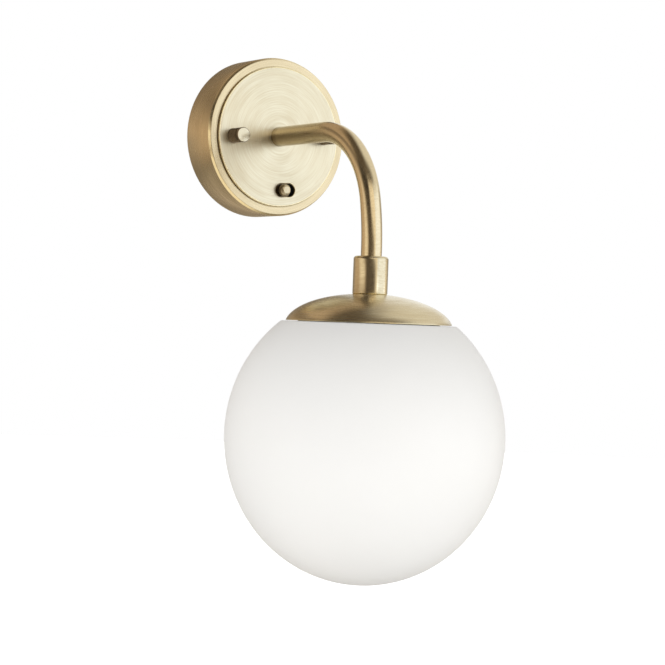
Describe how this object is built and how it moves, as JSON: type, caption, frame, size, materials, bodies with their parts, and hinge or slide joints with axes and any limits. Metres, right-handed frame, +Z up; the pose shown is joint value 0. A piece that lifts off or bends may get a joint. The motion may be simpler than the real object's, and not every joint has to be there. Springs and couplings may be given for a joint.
{
  "type": "wall light",
  "caption": "Wall light: a brass drum canopy with a slide switch carries a bent tube arm, a domed cap and an opal glass globe that pulls down off spring clips.",
  "frame": {"origin": "middle of the canopy's back on the wall, which is also the centre of the circle through the two wall screws", "axes": "+Z up, -Y out of the wall into the room, +X to the right seen from the room"},
  "size_m": [0.16, 0.2125, 0.3096],
  "materials": {
    "antique_brass": "brushed antique brass, satin lacquer",
    "bare_brass": "plain turned brass",
    "zinc_steel": "zinc-plated steel",
    "spring_steel": "bright spring steel",
    "black_plastic": "moulded, fine matt texture",
    "white_plastic": "moulded, natural white",
    "flex_sheath": "gold-coloured sheath",
    "brown_sleeve": "brown wire sleeve",
    "earth_sleeve": "green and yellow wire sleeve",
    "lamp_base_metal": "thin drawn metal",
    "bulb_glass": "frosted",
    "opal_glass": "satin opal white"
  },
  "bodies": {
    "root": {"wall_bracket": "zinc_steel", "cover_studs": "zinc_steel", "stud_lock_nuts": "zinc_steel", "terminal_block": "white_plastic", "terminal_screws": "bare_brass", "block_screws": "zinc_steel", "earth_tag": "bare_brass", "earth_screw": "bare_brass", "earth_wire": "earth_sleeve", "canopy": "antique_brass", "face_plate": "antique_brass", "switch_body": "black_plastic", "switch_strap": "zinc_steel", "switch_blades": "bare_brass", "switch_wires": "brown_sleeve", "arm_tube": "antique_brass", "arm_ferrule": "zinc_steel", "arm_washer": "zinc_steel", "arm_lock_nut": "zinc_steel", "lamp_flex": "flex_sheath", "collar": "antique_brass", "threaded_nipple": "zinc_steel", "cap": "antique_brass", "cap_lock_nut": "zinc_steel", "clip_lock_nut": "zinc_steel", "clip_plate": "zinc_steel", "spring_clips": "spring_steel", "clip_rivets": "zinc_steel", "lampholder_cap": "black_plastic", "lampholder_body": "black_plastic", "lampholder_shell": "bare_brass", "lampholder_contact": "bare_brass"},
    "switch_lever": {"switch_lever": "antique_brass"},
    "nut_left": {"knurled_nut_left": "antique_brass"},
    "nut_right": {"knurled_nut_right": "antique_brass"},
    "globe": {"globe": "opal_glass"},
    "bulb": {"bulb_glass": "bulb_glass", "bulb_base": "lamp_base_metal", "bulb_insulator": "black_plastic", "bulb_contact": "bare_brass"}
  },
  "joints": [
    {"name": "switch_slide", "type": "slide", "parent": "root", "child": "switch_lever", "axis": [0.9981, 0, 0.061], "range_m": [0, 0.0036]},
    {"name": "nut_left_turn", "type": "hinge", "parent": "root", "child": "nut_left", "pos_m": [-0.03234, -0.035, -0.00198], "axis": [0, -1, 0], "continuous": true},
    {"name": "nut_right_turn", "type": "hinge", "parent": "root", "child": "nut_right", "pos_m": [0.03234, -0.035, 0.00198], "axis": [0, -1, 0], "continuous": true},
    {"name": "globe_pull", "type": "slide", "parent": "root", "child": "globe", "axis": [0, 0, -1], "range_m": [0, 0.12]},
    {"name": "bulb_turn", "type": "hinge", "parent": "root", "child": "bulb", "pos_m": [0, -0.13252, -0.14], "axis": [0, 0, -1], "range_deg": [0, 900]}
  ]
}
